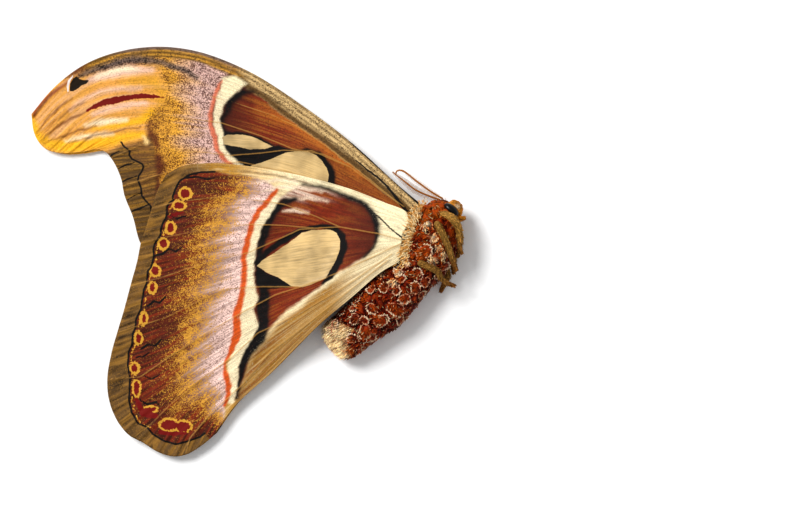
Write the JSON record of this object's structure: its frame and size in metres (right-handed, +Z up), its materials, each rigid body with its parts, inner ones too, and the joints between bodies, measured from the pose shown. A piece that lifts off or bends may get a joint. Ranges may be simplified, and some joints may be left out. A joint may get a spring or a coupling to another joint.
{
  "type": "atlas moth",
  "caption": "Life-size still model of a dried female atlas moth, lying on its side with the wings folded together over its back.",
  "frame": {"origin": "on the surface the moth lies on, under the middle of its bounding box", "axes": "+Z up, away from the surface it lies on; +X towards the head's side, away from the wing margins; +Y towards the front edge of the forewings"},
  "size_m": [0.1344, 0.126, 0.0149],
  "materials": {
    "wing": "dry scaled wing membrane, matt with a faint silky gloss",
    "coat": "clumped scales and hair, matt, rims paler",
    "eye": "dark faceted compound eye, dull gloss",
    "cuticle": "dry cuticle under short golden scales"
  },
  "bodies": {
    "root": {"forewing_right": "wing", "forewing_left": "wing", "hindwing_right": "wing", "hindwing_left": "wing", "thorax": "coat", "abdomen": "coat", "head": "coat", "eye_right": "eye", "eye_left": "eye", "antenna_right": "cuticle", "antenna_left": "cuticle", "foreleg_right": "cuticle", "foreleg_left": "cuticle", "midleg_right": "cuticle", "midleg_left": "cuticle", "hindleg_right": "cuticle", "hindleg_left": "cuticle"}
  },
  "joints": []
}
